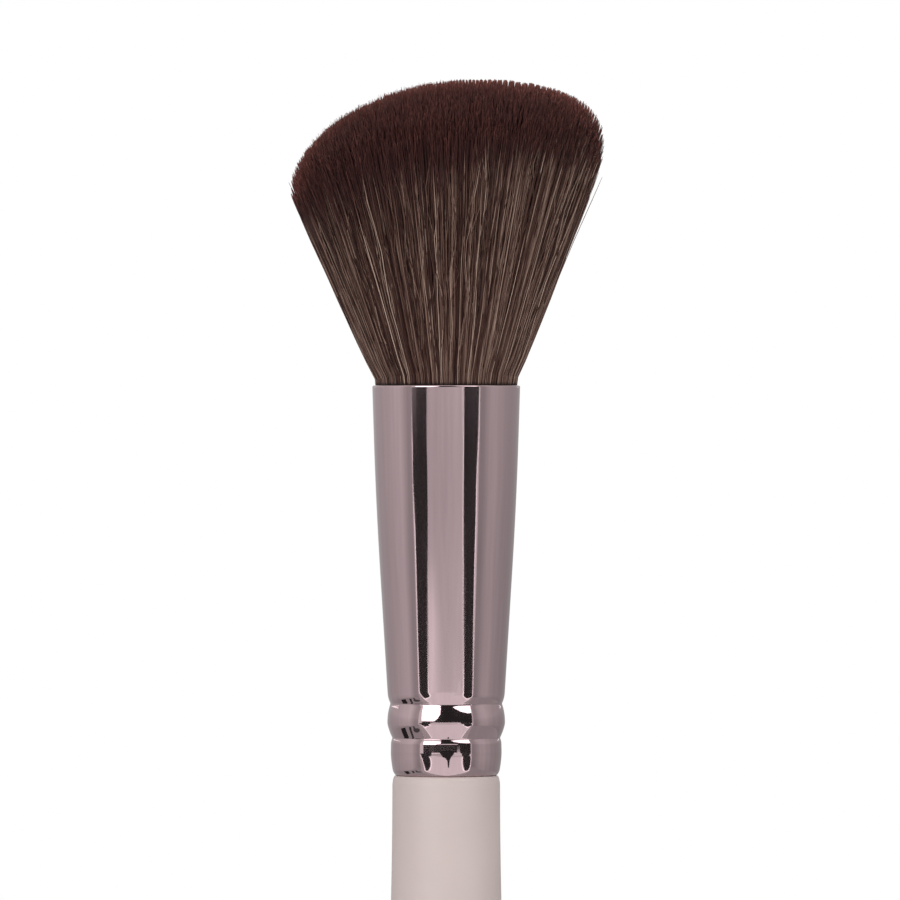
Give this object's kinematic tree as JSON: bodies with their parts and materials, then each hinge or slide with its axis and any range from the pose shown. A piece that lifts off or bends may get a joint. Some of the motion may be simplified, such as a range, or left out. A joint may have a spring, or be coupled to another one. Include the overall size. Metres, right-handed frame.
{
  "type": "angled blush brush",
  "caption": "Angled blush brush: a fanned head of hair, cut low at the toe and high at the heel, in a crimped cone ferrule on a slim turned handle.",
  "frame": {"origin": "centre of the flat end of the handle, on which the brush stands", "axes": "+Z along the brush from the flat end to the hair, +X towards the heel, the tall side of the hair, and -Y towards the viewer of the picture"},
  "size_m": [0.0324, 0.0247, 0.1754],
  "materials": {
    "handle_lacquer": "satin",
    "ferrule_metal": "polished",
    "resin": "gloss",
    "thread": "matte",
    "hair": "satin"
  },
  "bodies": {
    "root": {"handle": "handle_lacquer", "ferrule": "ferrule_metal", "resin_plug": "resin", "root_binding": "thread", "bristle_tuft": "hair"}
  },
  "joints": []
}
